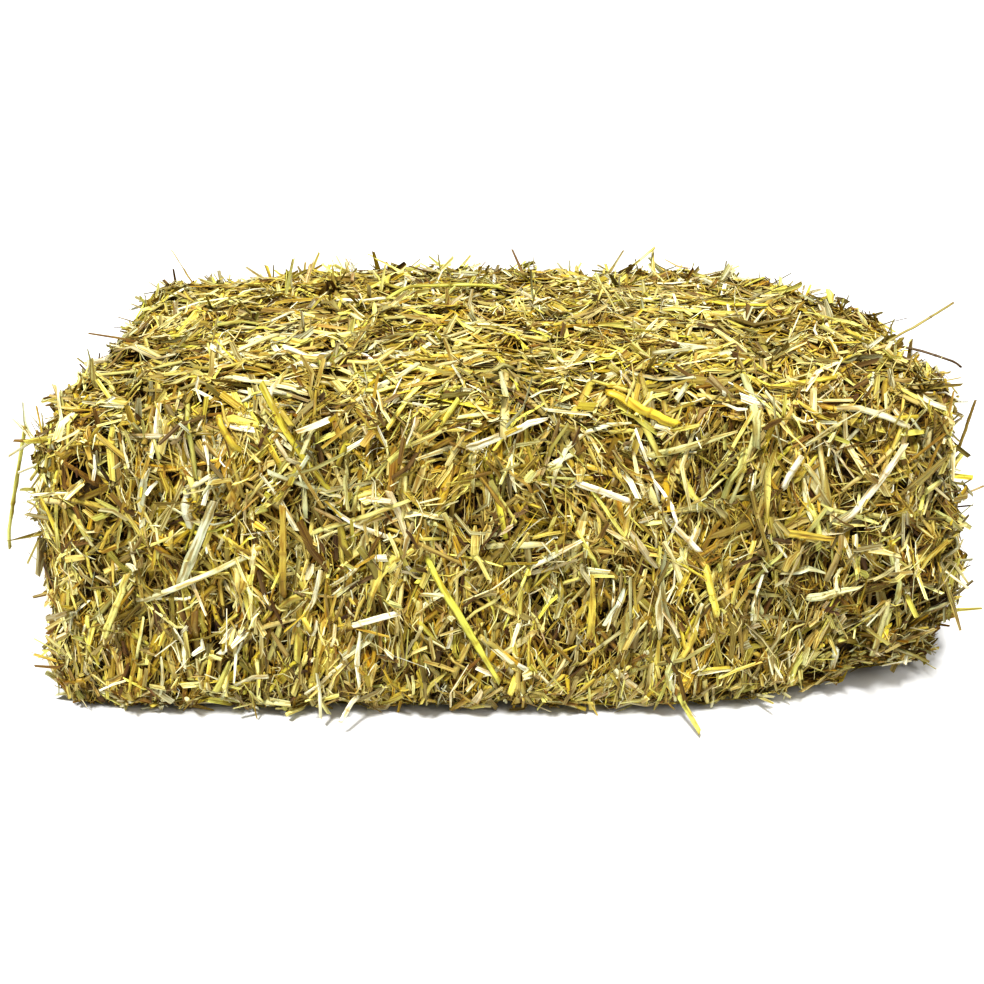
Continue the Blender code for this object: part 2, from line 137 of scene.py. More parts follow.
def scattered(count, chance, underneath=UNDERNEATH):
    """count places spread evenly over the skin, thinner on the underside, with their normals and flakes."""
    normals = facing(skin_corners, skin_faces)
    weight = np.linalg.norm(normals, axis=1)
    below = (skin_corners[skin_faces][:, :, 2] < UNDERSIDE).all(1)
    weight = weight * np.where(below, underneath, 1)
    face = chance.choice(len(weight), count, p=weight / weight.sum())
    share = chance.dirichlet((1, 1, 1), count)
    corners = skin_faces[face]
    places = (skin_corners[corners] * share[:, :, None]).sum(1)
    return places, unit((skin_normals[corners] * share[:, :, None]).sum(1)), skin_flakes[face]


DRIFT_WAVES = 7
DRIFT_PITCH = (0.6, 1.5)
DRIFT_HEIGHT = 2.6


def drift(places, size, seed):
    """A slow change from place to place, mostly within -1 to 1, over distances of about size."""
    chance = np.random.default_rng(seed)
    total = 0
    for _ in range(DRIFT_WAVES):
        way = unit(chance.normal(size=3)) * 2 * math.pi / size * chance.uniform(*DRIFT_PITCH)
        total = total + np.sin(places @ way + chance.uniform(0, 2 * math.pi))
    return total / DRIFT_HEIGHT


# How a straw lies. A straw is pressed flat against the skin, at its own angle to the flake's
# run, and follows the skin as far as its stiffness lets it. Its ends lie a little higher or deeper.
DENTS = (
    # place, radius and depth in millimetres; the last two stand out
    ((-222, 125, 205), 42, 12),
    ((-272, -10, 195), 40, 9),
    ((-285, -125, 120), 55, 8),
    ((268, -110, 175), 42, 17),
    ((250, -60, 200), 38, 8),
    ((228, -130, 12), 45, 9),
    ((170, -160, 5), 40, 5),
    ((-250, -135, 165), 30, 5),
    ((-235, -155, 150), 24, 4),
    ((150, -160, 168), 20, 4),
    ((-38, -150, 172), 18, 4),
    ((272, -110, 72), 55, -12),
    ((240, -140, 60), 40, -3),
)
FOOT_DEPTH = 4 * MM
FOOT_HEIGHT = 14 * MM
MEAN_DEPTH = 1.8 * MM
HOLLOWS_ACROSS, HOLLOWS_DEEP, SHALLOWEST = 46 * MM, 2.6 * MM, -0.7
TUFTS_ACROSS, TUFTS_DEEP = 19 * MM, 1.9 * MM
LOOSE_FROM, LOOSE_OVER, LOOSE_END = 150 * MM, 90 * MM, 1.4

# The dark holes between tufts, as places and radii in millimetres: two at the top left of the front,
# and small ones over the front and the right end.
HOLES = [((-240, -152, 153), 9), ((-226, -156, 149), 6)]
FRONT_HOLES, FRONT_HOLE_SPANS = 16, ((-250, 235), (20, 175), (2.5, 4.5))
END_HOLES, END_HOLE_SPANS, END_HOLE_RADIUS = 8, ((-140, 60), (60, 190)), 5
hole_chance = np.random.default_rng(5)
for x, z, radius in zip(*(hole_chance.uniform(*span, FRONT_HOLES) for span in FRONT_HOLE_SPANS)):
    HOLES.append(((x, -158, z), radius))
for y, z in zip(*(hole_chance.uniform(*span, END_HOLES) for span in END_HOLE_SPANS)):
    HOLES.append(((248, y, z), END_HOLE_RADIUS))


def sunk(places):
    """How much deeper straws lie in the dents of the pressed skin, and higher on its tufts."""
    loose = 1 + LOOSE_END * np.clip((places[..., 0] - LOOSE_FROM) / LOOSE_OVER, 0, 1)
    deeper = MEAN_DEPTH + HOLLOWS_DEEP * drift(places, HOLLOWS_ACROSS, 11).clip(SHALLOWEST, 1)
    deeper = deeper + TUFTS_DEEP * loose * drift(places, TUFTS_ACROSS, 12)
    for place, radius, depth in DENTS:
        away = np.linalg.norm(places - np.array(place) * MM, axis=-1) / (radius * MM)
        deeper = deeper + depth * MM * np.exp(-(away**2))
    return deeper + FOOT_DEPTH * np.exp(-((places[..., 2] / FOOT_HEIGHT) ** 2))


def in_a_hole(places, grown=1.0):
    """Whether each place is in one of the dark holes, with their radii grown so many times."""
    inside = np.zeros(places.shape[:-1], bool)
    for place, radius in HOLES:
        inside |= np.linalg.norm(places - np.array(place) * MM, axis=-1) < radius * MM * grown
    return inside


TOP_STARTS = 0.8


def skin_axes(normals):
    """Two directions along the skin: level, and up the face, or from front to back on the top."""
    level = np.cross(np.array((0.0, 0.0, 1.0)), normals)
    lying = np.abs(normals[:, 2]) > TOP_STARTS
    level[lying] = np.array((1.0, 0.0, 0.0)) - normals[lying] * normals[lying][:, :1]
    level = unit(level)
    return level, np.cross(normals, level), lying


FRONT_STARTS = 0.6
FRONT_RUN = math.radians(84)
TOP_RUN = math.radians(6)
END_RUN = math.radians(80)
RUFFLED_HEIGHT = 170 * MM
LEAST_RUFFLED = 0.35
PATCH_TURN = 0.8
WIDE_PATCH, WIDE_PATCH_TURN = 140 * MM, 0.35


def ways_on_skin(places, normals, chance, tidy, spread, patch):
    """A direction along the skin for each place: a share, tidy, run with the flake, the rest at random."""
    level, rising, lying = skin_axes(normals)
    run = np.where(lying, TOP_RUN, np.where(np.abs(normals[:, 1]) > FRONT_STARTS, FRONT_RUN, END_RUN))
    ruffled = np.clip(places[:, 2] / RUFFLED_HEIGHT, LEAST_RUFFLED, 1)
    swirl = PATCH_TURN * drift(places, patch, 21) + WIDE_PATCH_TURN * drift(places, WIDE_PATCH, 22)
    angle = run + ruffled * swirl + chance.normal(0, spread, len(places))
    loose = chance.random(len(places)) < (1 - tidy) * ruffled
    angle[loose] = chance.uniform(0, math.pi, loose.sum())
    angle = angle + math.pi * (chance.random(len(places)) < 0.5)
    return level * np.cos(angle)[:, None] + rising * np.sin(angle)[:, None]


def turned(ways, about, angle):
    """Each way turned about its own axis by its own angle."""
    cos, sin = np.cos(angle)[:, None], np.sin(angle)[:, None]
    return ways * cos + np.cross(about, ways) * sin


def laid(places, normals, ways, lengths, rings, hug, bow, kink):
    """The middle line of each straw, laid both ways from its middle, and the skin's normals along it.

    hug is how closely it follows the skin, bow how far it turns sideways, and kink a turn at its middle."""
    half = (rings - 1) / 2
    step = (lengths / (rings - 1))[:, None]
    line, faces = np.empty((len(places), rings, 3)), np.empty((len(places), rings, 3))
    for side, first in ((1, math.ceil(half)), (-1, math.ceil(half) - 1)):
        place, normal, way = places, normals, ways * side
        count = rings - first if side > 0 else first + 1
        for number in range(count):
            reach = step * (abs(first - half) if number == 0 else 1)
            turn = bow * side / max(half, 1)
            if side > 0 and number == 1:
                turn = turn + kink
            way = turned(way, normal, turn)
            ahead = place + way * reach
            spot, normal = on_skin(ahead)
            along = unit(way - normal * (way * normal).sum(1)[:, None])
            way = unit(way * (1 - hug) + along * hug)
            place = ahead * (1 - hug) + spot * hug
            line[:, first + side * number], faces[:, first + side * number] = place, normal
    return line, faces


# What a straw's cut across looks like. A whole stem is a round tube pressed oval, a split one a
# gutter, a leaf a thin blade folded at its rib, and the finest awns and chips are flat ribbons.
def round_section(sides):
    turn = np.linspace(0, 2 * math.pi, sides, endpoint=False)
    return np.stack([np.cos(turn), np.sin(turn)], 1)


STEM_SECTION = round_section(6)
BLADE_SECTION = round_section(4)
GUTTER_SECTION = np.array(((1, -0.2), (0.62, 0.62), (-0.62, 0.62), (-1, -0.2), (-0.55, 0.25), (0.55, 0.25)))
FOLD_SECTION = np.array(((1.0, 0.0), (0.0, 1.0), (-1.0, 0.0)))
RIBBON_SECTION = np.array(((1.0, 0.0), (-1.0, 0.0)))
STRAW_COLOURS = {
    "lemon": (0.71, 0.685, 0.2),
    "straw": (0.58, 0.525, 0.235),
    "golden": (0.56, 0.43, 0.065),
    "pale": (0.81, 0.815, 0.55),
    "white": (0.87, 0.88, 0.68),
    "olive": (0.34, 0.285, 0.065),
    "tan": (0.39, 0.295, 0.08),
    "brown": (0.16, 0.092, 0.014),
}
# The flakes towards the right end, and the foot, are painted darker and duller, partly painted shade where
# less light falls and partly duller straw: from where, over how far, how much.
SHADED_DULL_FROM, SHADED_DULL_OVER, SHADED_DULL_FLAKES = 40 * MM, 240 * MM, 0.22
SHADED_DULL_FOOT_HEIGHT, SHADED_DULL_FOOT = 140 * MM, 0.06
SHADING_AND_DULLING = np.array((0.85, 1, 1.25))
WIDE_SHADE = 60 * MM, 0.17
FINE_SHADE = 26 * MM, 0.14
SHADE_ALONG, SHADE_ROUND = 0.08, 0.2
HUE_NOISE, YELLOW_NOISE = 0.018, 0.3
DARKEST, BRIGHTEST = 0.003, 0.93
# The blue of a straw is at most this share of its green, and a larger share the paler it is.
MOST_BLUE, MORE_BLUE = 0.33, 0.45


def tints(mix, places, rings, sides, chance, uneven):
    """A colour for every straw out of the mix of shares, a little different at each corner of its rings."""
    names = list(mix)
    colours = np.array([STRAW_COLOURS[name] for name in names])
    share = np.array([mix[name] for name in names], float)
    count = len(places)
    chosen = colours[chance.choice(len(names), count, p=share / share.sum())][:, None, None]
    # Painted shade, with duller straw: darker towards the right end and towards the foot.
    shade_and_dull = SHADED_DULL_FLAKES * np.clip((places[:, 0] - SHADED_DULL_FROM) / SHADED_DULL_OVER, 0, 1) ** 1.5
    shade_and_dull = shade_and_dull + SHADED_DULL_FOOT * np.clip(1 - places[:, 2] / SHADED_DULL_FOOT_HEIGHT, 0, 1)
    shade = chance.normal(0, uneven, count)
    for seed, (size, depth) in ((31, WIDE_SHADE), (32, FINE_SHADE)):
        shade = shade + depth * drift(places, size, seed)
    shade = shade[:, None, None] + chance.normal(0, SHADE_ALONG, (count, rings, 1))
    shade = shade + chance.normal(0, SHADE_ROUND, (count, 1, sides))
    hue = chance.normal(0, HUE_NOISE, (count, 1, 1, 3))
    hue = hue + chance.normal(0, YELLOW_NOISE, (count, 1, 1, 1)) * np.array((0, 0, 1))
    tint = chosen * np.exp(shade[..., None] + hue - shade_and_dull[:, None, None, None] * SHADING_AND_DULLING)
    tint = np.clip(tint, DARKEST, BRIGHTEST)
    tint[..., 2] = np.minimum(tint[..., 2], (MOST_BLUE + MORE_BLUE * tint[..., 1]) * tint[..., 1])
    return tint


WHOLE_MIDDLE = 0.3
TAPER_POWER = 1.5


def tapered(width, rings, chance, ends, swell):
    """Widths along each straw, with broken, narrower ends and a little unevenness between."""
    along = np.linspace(-1, 1, rings)
    first, last = chance.uniform(*ends, (2, len(width), 1))
    end = np.where(along < 0, first, last)
    outer = np.clip((np.abs(along) - WHOLE_MIDDLE) / (1 - WHOLE_MIDDLE), 0, 1)
    shape = 1 - (1 - end) * outer**TAPER_POWER
    return width[:, None] * shape * np.exp(chance.normal(0, swell, (len(width), rings)))


SLANTED_CUT = 0.9
OFF_THE_TABLE = 0.15 * MM


def section_rings(line, faces, width, depth, roll, section, slant):
    """The points round each straw at each place along it, with both ends cut at a slant."""
    along = unit(np.gradient(line, axis=1))
    side = unit(np.cross(along, faces))
    out = np.cross(side, along)
    cos, sin = np.cos(roll)[:, :, None], np.sin(roll)[:, :, None]
    side, out = side * cos + out * sin, out * cos - side * sin
    rings = line[:, :, None] + side[:, :, None] * (width[:, :, None] / 2 * section[:, 0])[..., None]
    rings = rings + out[:, :, None] * (depth[:, :, None] / 2 * section[:, 1])[..., None]
    for end, cut in zip((0, -1), slant):
        rings[:, end] += along[:, end, None] * (width[:, end, None] / 2 * section[:, 0])[..., None] * cut
    rings[..., 2] = np.maximum(rings[..., 2], OFF_THE_TABLE)
    return rings


PATTERN_REACH = 3


class Bundle:
    """Straws of one kind: their ring points and tints, where each pattern starts, and their flakes."""

    def __init__(self, rings, width, closed, flakes, tint, finish, cell, chance):
        self.rings, self.tint, self.flakes = rings, tint, flakes
        self.closed, self.finish, self.cell = closed, finish, cell
        reach = np.linalg.norm(np.diff(rings.mean(2), axis=1), axis=2).cumsum(1)
        begins = chance.uniform(0, PATTERN_REACH, (len(rings), 1))
        self.along = np.concatenate([np.zeros((len(rings), 1)), reach], 1) + begins
        self.across = width.mean(1)
        self.start = chance.uniform(0, PATTERN_REACH, len(rings))


bundles = []
TUFT_FAN = 0.16
TUFT_WIDTH, TUFT_LENGTH = 2.2 * MM, 3 * MM
SNAPPED_TURN = 0.7
ACROSS_A_HOLE = 0.1
# A straw that lies deeper than the first height is painted browner and darker, most of all that much deeper:
# painted shade of the gaps between straws, partly the colour of unbleached straw.
SHADED_BELOW, DEPTH_SHADE_OVER = 1 * MM, 6 * MM
DEPTH_SHADE_AND_UNBLEACHED = np.array((1.2, 1.85, 5.0))


def lay_straws(
    count, seed, length, width, section, rings, height, mix, finish, cell, tuft=1, tidy=0.5, spread=0.4,
    patch=45 * MM, hug=0.7, bow=0.2, snapped=0.0, tilt=1.2 * MM, arch=0.4 * MM, depth=(0.15, 0.4), lean=0.4,
    twist=0.08, ends=(0.4, 1.0), swell=0.08, wander=0.0, uneven=0.2,
):
    """Lays count straws of one kind on the skin and keeps them as a bundle.

    length and width are a gamma law's power, its mean, and the least and the most. tuft straws lie side by
    side. height is the span that a straw's middle is in, over the skin, tilt how much higher one end is
    than the other, arch how much higher its middle is, and lean how far it rolls about its own line."""
    chance = np.random.default_rng(seed)
    places, normals, flakes = (np.repeat(found, tuft, 0) for found in scattered(count // tuft, chance))
    count = len(places)
    ways = ways_on_skin(places, normals, chance, tidy, spread, patch)
    if tuft > 1:
        ways = turned(np.repeat(ways[::tuft], tuft, 0), normals, chance.normal(0, TUFT_FAN, count))
        aside, ahead = chance.normal(0, 1, (2, count, 1))
        places = places + np.cross(normals, ways) * aside * TUFT_WIDTH + ways * ahead * TUFT_LENGTH
    lengths = chance.gamma(length[0], length[1] / length[0], count).clip(length[2], length[3])
    widths = chance.gamma(width[0], width[1] / width[0], count).clip(width[2], width[3])
    kink = np.where(chance.random(count) < snapped, chance.normal(0, SNAPPED_TURN, count), 0)
    line, faces = laid(places, normals, ways, lengths, rings, hug, chance.normal(0, bow, count), kink)
    along = np.linspace(0, 1, rings)
    level = chance.uniform(*height, count)[:, None] + chance.normal(0, tilt, count)[:, None] * (2 * along - 1)
    level = level + chance.normal(0, arch, count)[:, None] * (1 - (2 * along - 1) ** 2)
    line = line + faces * (level - sunk(line))[:, :, None] + chance.normal(0, 1, line.shape) * wander
    shape = tapered(widths, rings, chance, ends, swell)
    roll = chance.normal(0, lean, (count, 1)) + chance.normal(0, twist, (count, rings)).cumsum(1)
    if section is GUTTER_SECTION or section is FOLD_SECTION:
        roll = roll + math.pi * (chance.random((count, 1)) < 0.5)
    buried = np.clip((SHADED_BELOW - level.mean(1)) / DEPTH_SHADE_OVER, 0, 1)[:, None, None, None]
    # Painted shade: deeper straws are darkened and browned, partly for the shade in the gaps, partly for
    # unbleached straw.
    tint = tints(mix, places, rings, len(section), chance, uneven) * np.exp(-buried * DEPTH_SHADE_AND_UNBLEACHED)
    thick = shape * chance.uniform(*depth, (count, 1))
    slant = chance.uniform(-1, 1, (2, count, 1, 1)) * SLANTED_CUT
    straws = section_rings(line, faces, shape, thick, roll, section, slant)
    keep = ~in_a_hole(line).any(1) | (chance.random(count) < ACROSS_A_HOLE)
    closed = len(section) > len(FOLD_SECTION)
    bundles.append(Bundle(straws[keep], shape[keep], closed, flakes[keep], tint[keep], finish, cell, chance))


# Chaff. Husks, chips and leaf crumbs a few millimetres long fill the gaps between the straws, lie at every
# angle, and are painted darker and browner, tan to brown, where they lie deep in the bale: painted shade of
# the gaps, partly unbleached straw.
lay_straws(
    count=20000, seed=101, length=(6, 9 * MM, 3 * MM, 18 * MM), width=(5, 1.3 * MM, 0.6 * MM, 3 * MM),
    section=RIBBON_SECTION, rings=3, height=(-6 * MM, 0), finish="chaff", cell=(4, 6), tuft=2, tidy=0.6,
    mix={"tan": 2, "brown": 1, "olive": 1.5, "straw": 3.5, "lemon": 1.5, "pale": 2, "golden": 0.6},
    spread=0.5, patch=24 * MM, hug=0.4, bow=0.15, tilt=1.2 * MM, lean=0.6, twist=0.2, ends=(0.2, 1.0),
)


# Shreds. Awns, split fibres and torn leaf edges under a millimetre wide lie in combed tufts between
# the straws, and single ones curl over everything else.
SHRED_MIX = {
    "pale": 3.5, "white": 0.8, "straw": 3, "lemon": 1.5,
    "golden": 0.6, "olive": 1.2, "tan": 1.8, "brown": 0.8,
}
lay_straws(
    count=70000, seed=102, length=(7, 15 * MM, 6 * MM, 32 * MM), width=(9, 0.8 * MM, 0.45 * MM, 1.4 * MM),
    section=RIBBON_SECTION, rings=3, height=(-5 * MM, 0.9 * MM), mix=SHRED_MIX, finish="chaff", cell=(4, 6),
    tuft=10, tidy=0.85, spread=0.3, patch=42 * MM, hug=0.5, bow=0.2, tilt=1.0 * MM, twist=0.15,
    ends=(0.2, 0.8),
)
lay_straws(
    count=7500, seed=103, length=(5, 15 * MM, 6 * MM, 34 * MM), width=(9, 0.65 * MM, 0.4 * MM, 1.1 * MM),
    section=RIBBON_SECTION, rings=5, height=(-3 * MM, 1.6 * MM), mix=SHRED_MIX, finish="chaff", cell=(4, 8),
    tidy=0.4, spread=0.6, patch=30 * MM, hug=0.5, bow=0.7, tilt=1.6 * MM, arch=1 * MM, twist=0.2,
    ends=(0.2, 0.8), wander=0.2 * MM,
)


# Broken straw. The baler's knives and the press crush most stems into short flat pieces, most of
# them torn open along a fold and some still closed, which lie packed under the longer straws.
BROKEN_MIX = {
    "lemon": 3.4, "straw": 4, "pale": 2.6, "white": 0.4,
    "golden": 0.9, "olive": 1.5, "tan": 1.5, "brown": 0.9,
}
lay_straws(
    count=17100, seed=104, length=(5, 24 * MM, 8 * MM, 60 * MM), width=(8, 2.6 * MM, 1.2 * MM, 5 * MM),
    section=FOLD_SECTION, rings=3, height=(-5 * MM, 0.9 * MM), mix=BROKEN_MIX, finish="blade", cell=(6, 10),
    tuft=3, tidy=0.85, spread=0.28, patch=42 * MM, ends=(0.45, 1.0), twist=0.1, bow=0.12, hug=0.4,
    swell=0.09, depth=(0.15, 0.55), tilt=1.4 * MM,
)
lay_straws(
    count=4600, seed=105, length=(6, 23 * MM, 8 * MM, 55 * MM), width=(9, 2.3 * MM, 1.1 * MM, 3.8 * MM),
    section=BLADE_SECTION, rings=3, height=(-3.6 * MM, 0.9 * MM), mix=BROKEN_MIX, finish="blade",
    cell=(8, 12), tuft=2, tidy=0.8, spread=0.32, patch=42 * MM, ends=(0.5, 1.0), twist=0.08, bow=0.1,
    hug=0.4, depth=(0.3, 0.7), tilt=1.4 * MM,
)


# Split straw. A stem crushed by the press opens along its length into a gutter, and lies with the
# gutter up or down.
STEM_MIX = {"lemon": 4, "straw": 3, "pale": 2.8, "white": 0.6, "golden": 0.9, "olive": 1.0, "tan": 0.5}
lay_straws(
    count=1000, seed=106, length=(7, 34 * MM, 14 * MM, 75 * MM), width=(10, 3.3 * MM, 2 * MM, 5 * MM),
    section=GUTTER_SECTION, rings=4, height=(-2.4 * MM, 1.2 * MM), mix=STEM_MIX, finish="stem", cell=(12, 14),
    tidy=0.6, spread=0.45, patch=60 * MM, ends=(0.7, 1.0), depth=(0.35, 0.6), bow=0.04, hug=0.5,
)


# Stems. Waxy straws, two to five millimetres across and pressed oval, make up the crisp top
# layer, and some are snapped half way along.
lay_straws(
    count=2300, seed=107, length=(6, 32 * MM, 11 * MM, 78 * MM), width=(10, 2.8 * MM, 1.7 * MM, 4.8 * MM),
    section=STEM_SECTION, rings=4, height=(-2.8 * MM, 1.2 * MM), mix=STEM_MIX, finish="stem", cell=(12, 14),
    tidy=0.65, spread=0.42, patch=50 * MM, ends=(0.8, 1.0), depth=(0.3, 0.8), bow=0.06, hug=0.5, snapped=0.1,
    swell=0.04, lean=0.25,
)


# Leaves. The sheaths and blades that came off the stems are thin, crinkled and twisted, with a rib
# down the middle, and end in long points.
lay_straws(
    count=900, seed=108, length=(7, 34 * MM, 14 * MM, 70 * MM), width=(9, 3.6 * MM, 2.2 * MM, 5.4 * MM),
    section=BLADE_SECTION, rings=6, height=(-1.8 * MM, 1.2 * MM), mix=STEM_MIX, finish="blade", cell=(8, 18),
    tidy=0.6, spread=0.45, patch=60 * MM, ends=(0.1, 0.9), depth=(0.08, 0.2), bow=0.22, hug=0.5, snapped=0.16,
    twist=0.2, swell=0.06,
)


# Stray ends. Along the edges, the ends and the foot, cut tips and awns stand out of the bale, in
# tufts where a bundle of straws was cut together.
TIP_TUFT = 3
TIP_COUNT = 1800
TIP_FLATNESS = 0.985
ON_A_FLAT_FACE = 0.25
MOST_RISE = 0.5
RAISED_SHARE, RAISED_FURTHER = 0.25, (0.1, 0.4)
RISING_ABOVE = 30 * MM
TIP_FAN = 0.2
TIP_SCATTER = 1.8 * MM
# Each is a gamma law's power and scale, and the least and the most.
TIP_LENGTH = 6, 3 * MM, 8 * MM, 32 * MM
TIP_WIDTH = 5, 0.5 * MM, 0.8 * MM, 4.2 * MM
TIP_REACH = -0.4, 0.6
TIP_BEND = 0.22
TIP_THICKNESS = 0.35
TIP_RINGS = 3
chance = np.random.default_rng(109)
places, normals, flakes = scattered(TIP_COUNT * 3, chance, 0)
edge = np.abs(normals).max(1) < TIP_FLATNESS
keep = np.flatnonzero(edge | (chance.random(len(edge)) < ON_A_FLAT_FACE))[:TIP_COUNT]
ways = ways_on_skin(places[keep], normals[keep], chance, tidy=0.2, spread=0.8, patch=40 * MM)
rise = chance.uniform(0, MOST_RISE, len(keep))
rise = rise + (chance.random(len(keep)) < RAISED_SHARE) * chance.uniform(*RAISED_FURTHER, len(keep))
rise = rise[:, None]
upwards = normals[keep] * rise * (places[keep][:, 2:] > RISING_ABOVE)
ways = np.repeat(unit(ways * (1 - rise) + upwards), TIP_TUFT, 0)
places, normals, flakes = (np.repeat(found[keep], TIP_TUFT, 0) for found in (places, normals, flakes))
count = len(places)
ways = unit(ways + chance.normal(0, TIP_FAN, (count, 3)))
places = places + chance.normal(0, TIP_SCATTER, (count, 3))
lengths, widths = (
    chance.gamma(power, scale, count).clip(least, most)
    for power, scale, least, most in (TIP_LENGTH, TIP_WIDTH)
)
along = np.linspace(*TIP_REACH, TIP_RINGS)[None, :, None]
bend = chance.normal(0, TIP_BEND, (count, 3))[:, None] * along**2
places = places - normals * sunk(places)[:, None]
line = places[:, None] + lengths[:, None, None] * (ways[:, None] * along + bend)
shape = tapered(widths, TIP_RINGS, chance, ends=(0.5, 1.0), swell=0.06)
roll = chance.uniform(0, math.pi, (count, 1)) + np.zeros((1, TIP_RINGS))
tint = tints(BROKEN_MIX, places, TIP_RINGS, len(FOLD_SECTION), chance, uneven=0.25)
slant = chance.uniform(-1, 1, (2, count, 1, 1)) * SLANTED_CUT
faces = np.repeat(normals[:, None], TIP_RINGS, 1)
tips = section_rings(line, faces, shape, shape * TIP_THICKNESS, roll, FOLD_SECTION, slant)
bundles.append(Bundle(tips, shape, False, flakes, tint, "blade", (6, 10), chance))


# The finishes of straw. Its colour runs in streaks along the fibres, the rain and the field have
# left dull blotches and brown specks, and wax makes whole stems shinier than torn leaf and chaff.
class Fibre:
    """One output of a node, on which arithmetic adds the Math nodes that work it out."""

    def __init__(self, tree, socket=None):
        self.tree, self.socket = tree, socket

    def node(self, kind, settings=None, inputs=None, output=0):
        """Adds a node with its settings, its sockets' values or links, and gives one of its outputs."""
        made = self.tree.nodes.new(kind)
        for name, value in (settings or {}).items():
            if name == "stops":
                ramp = made.color_ramp
                while len(ramp.elements) < len(value):
                    ramp.elements.new(0.5)
                for stop, (place, shade) in zip(ramp.elements, value):
                    stop.position, stop.color = place, (shade, shade, shade, 1)
            else:
                setattr(made, name, value)
        for name, value in (inputs or {}).items():
            if isinstance(value, Fibre):
                self.tree.links.new(value.socket, made.inputs[name])
            else:
                made.inputs[name].default_value = value
        return Fibre(self.tree, made.outputs[output])

    def math(self, operation, first, second):
        return self.node("ShaderNodeMath", {"operation": operation}, {0: first, 1: second})

    def __add__(self, other):
        return self.math("ADD", self, other)

    def __sub__(self, other):
        return self.math("SUBTRACT", self, other)

    def __rsub__(self, other):
        return self.math("SUBTRACT", other, self)

    def __mul__(self, other):
        return self.math("MULTIPLY", self, other)

    __radd__, __rmul__ = __add__, __mul__

    def mixed(self, share, other, blend="MIX"):
        """This colour with a share of another one mixed in."""
        return self.node(
            "ShaderNodeMix", {"data_type": "RGBA", "blend_type": blend}, {0: share, 6: self, 7: other}, 2
        )

    def feed(self, surface, name):
        self.tree.links.new(self.socket, surface.inputs[name])


def new_finish(name, **plain):
    """A material with its plain values set, its surface, and a Fibre that starts its nodes."""
    material = bpy.data.materials.new(name)
    material.use_nodes = True
    surface = material.node_tree.nodes["Principled BSDF"]
    for socket, value in plain.items():
        surface.inputs[socket.replace("_", " ")].default_value = value
    return material, surface, Fibre(material.node_tree)


STREAKS_A_METRE = 55
DARK_STREAK, LIGHT_STREAK, LIGHT_SHARE = (0.46, 0.3, 0.075, 1), (1.06, 1.1, 1.3, 1), 0.4
WEATHERED, WEATHERED_SHARE = (0.66, 0.58, 0.46, 1), 0.4
SPECK, SPECK_SHARE = (0.09, 0.05, 0.025, 1), 0.45
ROUGH_STREAK, ROUGH_WEATHERED = 0.18, 0.15
FIBRE_RELIEF, BLOTCH_RELIEF = 0.2 * MM, 0.3
WAX_SPECULAR = 0.32


def straw_finish(name, across, roughness, streak_depth, bump, sheen):
    """A straw material whose streaks are across apart and run along the straw."""
    material, surface, start = new_finish(name, Sheen_Weight=sheen, Specular_IOR_Level=WAX_SPECULAR)
    tint = start.node("ShaderNodeAttribute", {"attribute_name": "tint"})
    run = start.node("ShaderNodeUVMap", {"uv_map": "run"})
    place = start.node("ShaderNodeTexCoord", output="Object")
    stretch = {0: run, 1: (1 / across, STREAKS_A_METRE, 1)}
    drawn = start.node("ShaderNodeVectorMath", {"operation": "MULTIPLY"}, stretch)
    fine = {"Vector": drawn, "Scale": 1.0, "Detail": 2.0}
    streak = start.node("ShaderNodeTexNoise", {"noise_dimensions": "2D"}, fine)
    streak = start.node("ShaderNodeValToRGB", {"stops": ((0.36, 0.0), (0.6, 1.0))}, {0: streak})
    blotch = start.node("ShaderNodeTexNoise", {}, {"Vector": place, "Scale": 130.0, "Detail": 3.0})
    weathered = start.node("ShaderNodeValToRGB", {"stops": ((0.5, 0.0), (0.72, 1.0))}, {0: blotch})
    speck = start.node("ShaderNodeTexNoise", {}, {"Vector": place, "Scale": 900.0, "Detail": 1.0})
    speck = start.node("ShaderNodeValToRGB", {"stops": ((0.66, 0.0), (0.74, 1.0))}, {0: speck})
    dark = tint.mixed(1.0, DARK_STREAK, "MULTIPLY")
    light = tint.mixed(1.0, LIGHT_STREAK, "MULTIPLY")
    colour = tint.mixed(streak_depth * (1 - streak), dark)
    colour = colour.mixed(streak * LIGHT_SHARE, light)
    colour = colour.mixed(weathered * WEATHERED_SHARE, tint.mixed(1.0, WEATHERED, "MULTIPLY"))
    colour = colour.mixed(speck * SPECK_SHARE, SPECK)
    colour.feed(surface, "Base Color")
    rough = roughness + ROUGH_STREAK * (1 - streak) + ROUGH_WEATHERED * weathered
    rough.feed(surface, "Roughness")
    raised = {"Strength": bump, "Distance": FIBRE_RELIEF, "Height": streak + BLOTCH_RELIEF * blotch}
    start.node("ShaderNodeBump", {}, raised).feed(surface, "Normal")
    return material


finishes = {
    "stem": straw_finish("waxy_straw", 1.7 * MM, 0.36, 0.8, 0.5, 0.02),
    "blade": straw_finish("crushed_straw", 1.5 * MM, 0.5, 0.85, 0.6, 0.03),
    "chaff": straw_finish("torn_chaff", 1.3 * MM, 0.62, 0.7, 0.5, 0.05),
}


# The matted heart. Under the straws, each flake is a dense mat of dust, chaff and pith, painted dark brown:
# mostly painted shade of the deep gaps between the straws, partly the mat's own colour. It fills the flake to
# about a centimetre under the skin.
HEART_DEPTH = 7.5 * MM
HEART_LUMPS, HEART_LUMP_SIZE = 0.8 * MM, 14 * MM
HOLE_DEPTH, HOLE_SPREAD = 8 * MM, 2.0
# The heart's colours are painted shade, dark as the gaps between straws, only partly the colour of dust and
# chips.
SHADED_DUST, SHADED_CHIP, SHADED_DARK_CLUMP = (0.07, 0.04, 0.01, 1), (0.22, 0.14, 0.04, 1), (0.04, 0.022, 0.006, 1)
MATTED_RUN = (1.0, 0.6, 0.45)
CLUMP_SHARE = 0.6


